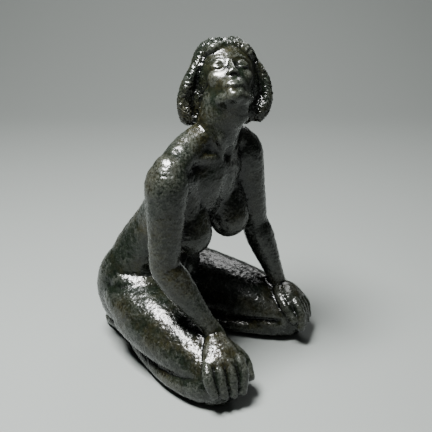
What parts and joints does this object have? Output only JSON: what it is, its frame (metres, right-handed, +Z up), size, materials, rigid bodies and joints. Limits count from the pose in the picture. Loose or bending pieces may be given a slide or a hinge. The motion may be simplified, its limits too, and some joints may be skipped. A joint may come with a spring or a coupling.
{
  "type": "crouching woman sculpture",
  "caption": "Nude woman in dark bronze, kneeling on the floor and leaning forward on straight arms, hands over her knees, face raised to one side.",
  "frame": {"origin": "middle of the figure's bounding box, at the floor that her lower legs rest on", "axes": "+Z up from the floor to the top of her hair, -Y the way her trunk and knees face, +X her left"},
  "size_m": [0.251, 0.2916, 0.43],
  "materials": {
    "bronze": "cast bronze, waxed over a black-green patina"
  },
  "bodies": {
    "root": {"figure": "bronze"}
  },
  "joints": []
}
